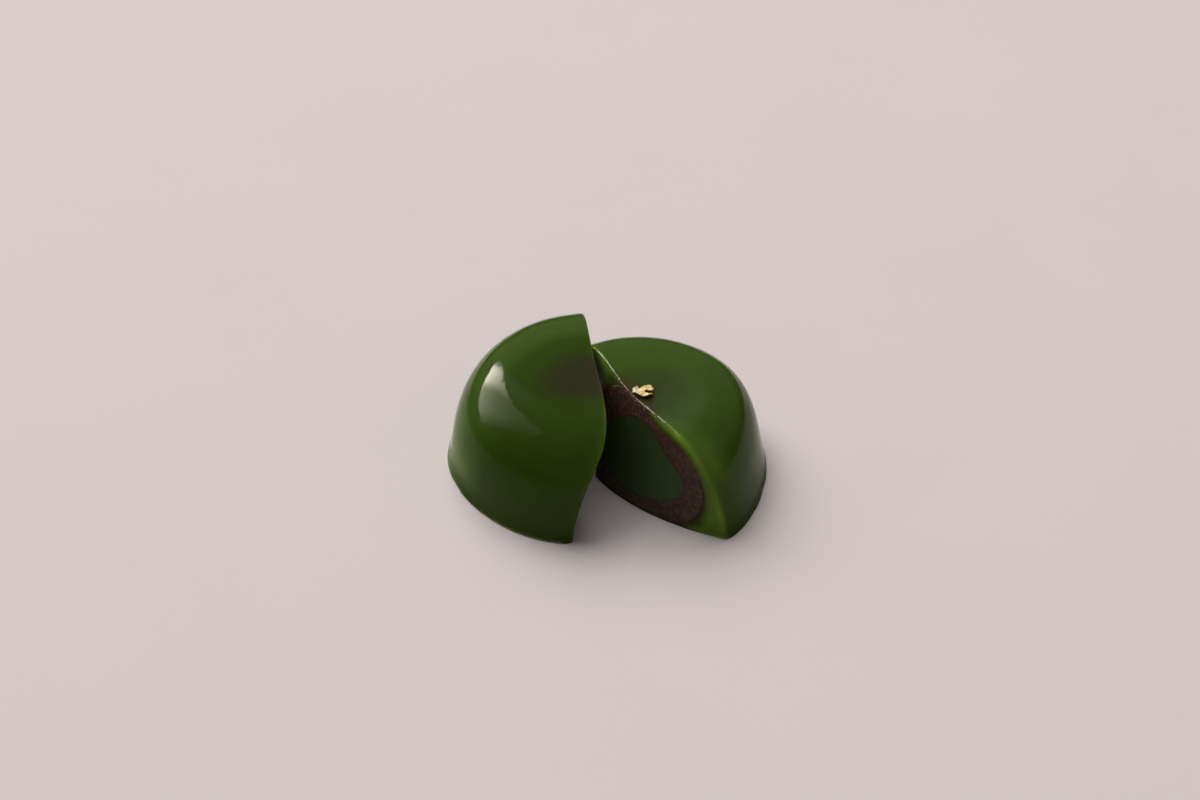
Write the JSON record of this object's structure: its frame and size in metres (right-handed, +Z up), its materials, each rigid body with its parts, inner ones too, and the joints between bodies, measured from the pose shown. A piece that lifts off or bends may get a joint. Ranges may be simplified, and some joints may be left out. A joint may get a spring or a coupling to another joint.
{
  "type": "matcha water manju",
  "caption": "A halved matcha water manju: a domed translucent green jelly round bean paste and a matcha core, opened side by side, with a flake of gold leaf on top.",
  "frame": {"origin": "middle of the whole sweet's box, on the surface that both halves rest on", "axes": "+Z up from the flat base; +X from the left half towards the right half; +Y towards the back, where the halves nearly touch"},
  "size_m": [0.066, 0.056, 0.0252],
  "materials": {
    "jelly": "wet, glossy and translucent",
    "bean_paste": "moist and crumbly",
    "matcha_core": "smooth and moist",
    "gold_leaf": "bright crumpled gold foil"
  },
  "bodies": {
    "root": {"jelly_left": "jelly", "jelly_right": "jelly", "bean_paste_left": "bean_paste", "bean_paste_right": "bean_paste", "matcha_core_left": "matcha_core", "matcha_core_right": "matcha_core", "gold_leaf": "gold_leaf"}
  },
  "joints": []
}
